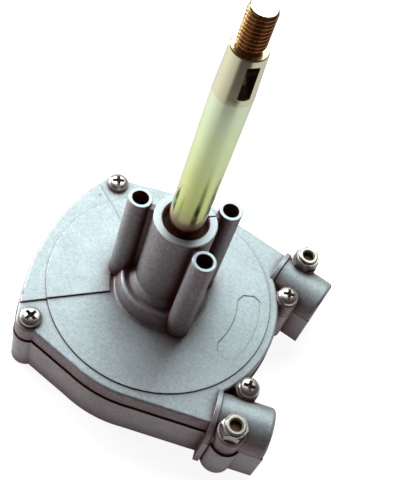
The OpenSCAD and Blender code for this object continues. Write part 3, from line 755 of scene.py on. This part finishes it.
# %% The tree of the thread
graph, size = new_tree("shaft_thread", thread_sizes)
grid, row, turn = turned_grid(graph, size["Columns"], size["Rows"])
along = ((row - 1.0) / (size["Rows"] - 3.0)).clamped()
height = size["Foot"] + along * (size["Top"] - size["Foot"])
wave = (height / size["Pitch"] - turn).sum("PINGPONG", 0.5) * 2.0
radius = size["Crest radius"] - size["Depth"] * wave.ramp(crest_end, root_start)
radius = radius.sum("MINIMUM", size["Crest radius"] - size["Chamfer"] + (size["Top"] - height))
radius = radius.sum("MINIMUM", size["Neck radius"] + (height - size["Start"]).sum("MAXIMUM", 0.0))
between_caps = (row > 0.5) * (row < size["Rows"] - 1.5)
end_tree(graph, bend_grid(graph, grid, radius * between_caps, turn, height), shaft_finish)
thread_mesh = bake("shaft_thread", graph, thread_sizes, bpy.data.meshes.new("thread_start"))
tidy_mesh(thread_mesh)

# %% Cut the plain end off a copy of the shaft
double_gap = 0.0001 * millimetre


def cut_above(mesh, height):
    """Removes what is above a height and closes the cut."""
    if "custom_normal" in mesh.attributes:
        mesh.attributes.remove(mesh.attributes["custom_normal"])
    work = bmesh.new()
    work.from_mesh(mesh)
    bmesh.ops.remove_doubles(work, verts=work.verts, dist=double_gap)
    cut = bmesh.ops.bisect_plane(
        work, geom=work.verts[:] + work.edges[:] + work.faces[:],
        plane_co=(0, 0, height), plane_no=(0, 0, 1), clear_outer=True)["geom_cut"]
    rim = [item for item in cut if isinstance(item, bmesh.types.BMEdge)]
    bmesh.ops.holes_fill(work, edges=rim)
    bmesh.ops.triangulate(work, faces=work.faces)
    work.to_mesh(mesh)
    work.free()


shaft_mesh = frame["nodes"]["steering_shaft"].data.copy()
shaft_mesh.name = "threaded_shaft"
cut_above(shaft_mesh, cut_height)
print("shaft without its end:", len(shaft_mesh.polygons), "faces")

# %% Join the thread to it
work = bmesh.new()
work.from_mesh(shaft_mesh)
work.from_mesh(thread_mesh)
report(shaft_mesh.name, work)
work.to_mesh(shaft_mesh)
work.free()
add_piece("threaded_shaft", shaft_mesh, "yellow_zinc_steel", "shaft", "steering_shaft")

# %% [markdown]
# ## The floor of the studio
#
# The photograph shows the helm on pure white. The floor looks white to the camera,
# because Light Path adds a glow for its rays. Rays that come off metal see a weaker glow,
# which is brightest at the sides and gives the shaft its light flanks. In front and a
# little to the right, from 23 cm out, a dark zone takes its place. The higher a point of
# the shaft is, the further out is the floor that it mirrors, so only the taper and the
# thread show the dark zone, as a dark band. For all other light the floor is plain and
# dim. Near the helm its glow is a little under white, so that a soft shadow shows.

# %% Sizes and colours of the floor
floor_half_width = 6.0
dark_way = (0.326, -0.946)
dark_sector = (0.77, 0.9)  # cosines of the angle off that way: at its rim, and where full
dark_distance = (0.228, 0.25)
white_distance = (0.35, 0.9)
glow_all_round, glow_at_sides = 0.37, 0.4  # shares of the glow that metal mirrors
lost_on_right, lost_in_dark = 0.16, 0.9
unlit_dark, unlit_rest = rgb(0.06, 0.04, 0.04), rgb(0.4, 0.26, 0.26)
grey, glow_near, white = rgb(0.5, 0.5, 0.5), rgb(0.9, 0.9, 0.9), rgb(1, 1, 1)
print("floor: the dark zone starts %.0f mm out" % (dark_distance[0] / millimetre))


# %% The kinds of ray, and how far forward a point lies
def ray_kinds(graph):
    """Whether a ray comes from the camera, off something glossy or through glass."""
    path = graph.add("ShaderNodeLightPath").socket.node
    return [Value(graph, path.outputs[name]) for name in (
        "Is Camera Ray", "Is Glossy Ray", "Is Transmission Ray")]


def reach_dark_way(x, y):
    """How far a point or a direction reaches towards the dark zone."""
    return x * dark_way[0] + y * dark_way[1]


# %% Floor
def floor_finish():
    material, graph, shader, place = new_material("floor_white", metallic=0.0, roughness=0.9)
    x, y, height = graph.parts(place)
    camera_ray, glossy_ray, clear_ray = ray_kinds(graph)
    distance = (x * x + y * y) ** 0.5
    aside = x * x / (x * x + y * y + 0.0001)
    ahead = reach_dark_way(x, y) / (distance + 0.001)
    dark = ahead.ramp(*dark_sector) * distance.ramp(*dark_distance)
    mirrored = glow_all_round + aside * (glow_at_sides - lost_on_right * (x > 0.0))
    mirrored = mirrored * (1.0 - dark * lost_in_dark)
    shown = (camera_ray + clear_ray + glossy_ray * mirrored).clamped()
    unlit = graph.blend(dark, unlit_rest, unlit_dark)
    feed(graph, shader, Base_Color=graph.blend(camera_ray, unlit, grey))
    plain = Value(graph, shader.outputs[0])
    glow = graph.add("ShaderNodeEmission", None, {
        "Color": graph.blend(distance.ramp(*white_distance), glow_near, white), "Strength": 1.0})
    both = graph.add("ShaderNodeAddShader", None, {0: plain, 1: glow})
    mix = graph.add("ShaderNodeMixShader", None, {0: shown, 1: plain, 2: both})
    output = material.node_tree.nodes["Material Output"]
    graph.tree.links.new(mix.socket, output.inputs["Surface"])
    return material


floor_mesh = bpy.data.meshes.new("floor")
corners = [(x * floor_half_width, y * floor_half_width, 0)
           for x, y in ((-1, -1), (1, -1), (1, 1), (-1, 1))]
floor_mesh.from_pydata(corners, [], [(0, 1, 2, 3)])
floor_mesh.materials.append(floor_finish())
floor = bpy.data.objects.new("floor", floor_mesh)
bpy.context.scene.collection.objects.link(floor)
floor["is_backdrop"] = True
print("floor: %.0f m wide" % (2 * floor_half_width))

# %% [markdown]
# ## Lamps and room
#
# A large soft lamp stands behind the helm and above it. Flat tops mirror it towards the
# camera, while the walls that face the camera stay dark, as in the photograph. A
# smaller one, low on the left, gives the walls there their lighter flanks. The room does
# what the floor does: it looks white, polished metal mirrors its lower part but for the
# front, and it lights little.

# %% Lamps
lamp_target = Vector((0.0, 0.0, 0.06))


def soft_lamp(name, place, size, power, colour):
    data = bpy.data.lights.new(name, "AREA")
    data.shape = "RECTANGLE"
    data.size, data.size_y = size
    data.energy = power
    data.color = colour
    lamp = bpy.data.objects.new(name, data)
    lamp.location = place
    lamp.rotation_euler = (lamp_target - Vector(place)).to_track_quat("-Z", "Y").to_euler()
    bpy.context.scene.collection.objects.link(lamp)
    print("%s: %.1f W" % (name, power))


soft_lamp("back_lamp", place=(-0.35, 0.75, 1.0), size=(1.3, 0.9), power=14.8,
          colour=(0.87, 1.0, 1.0))
soft_lamp("side_lamp", place=(-0.95, 0.25, 0.25), size=(0.6, 0.3), power=9.0,
          colour=(0.95, 0.97, 1.0))

# %% Room
dim_room = rgb(0.07, 0.042, 0.044)
front_range, upper_range = (0.2, 0.7), (0.1, 0.6)  # where mirrors lose the front and the top
world = bpy.data.worlds.new("studio")
world.use_nodes = True
graph = Graph(world.node_tree)
x, y, up = graph.parts(graph.add("ShaderNodeTexCoord", out="Generated"))
camera_ray, glossy_ray, clear_ray = ray_kinds(graph)
not_front = 1.0 - reach_dark_way(x, y).ramp(*front_range)
mirrored = glossy_ray * (0.5 - 0.5 * up.ramp(*upper_range)) * not_front
shown = (camera_ray + clear_ray + mirrored).clamped()
feed(graph, world.node_tree.nodes["Background"], Color=graph.blend(shown, dim_room, white))
bpy.context.scene.world = world
bpy.context.scene.view_settings.view_transform = "Standard"
print("room: looks white, and lights %.0f percent" % (100 * dim_room[0]))

# %% [markdown]
# ## The two boxes
#
# The boxes of the CAD model and of the visual model are printed side by side, in millimetres.
# The visual model may not grow past the CAD model.

# %% Print the boxes
import json

visual_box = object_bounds()
for name, box in (("CAD", cad_box), ("visual", visual_box)):
    print(name, "box, mm:", [round((high - low) / millimetre, 1) for low, high in zip(*box)])
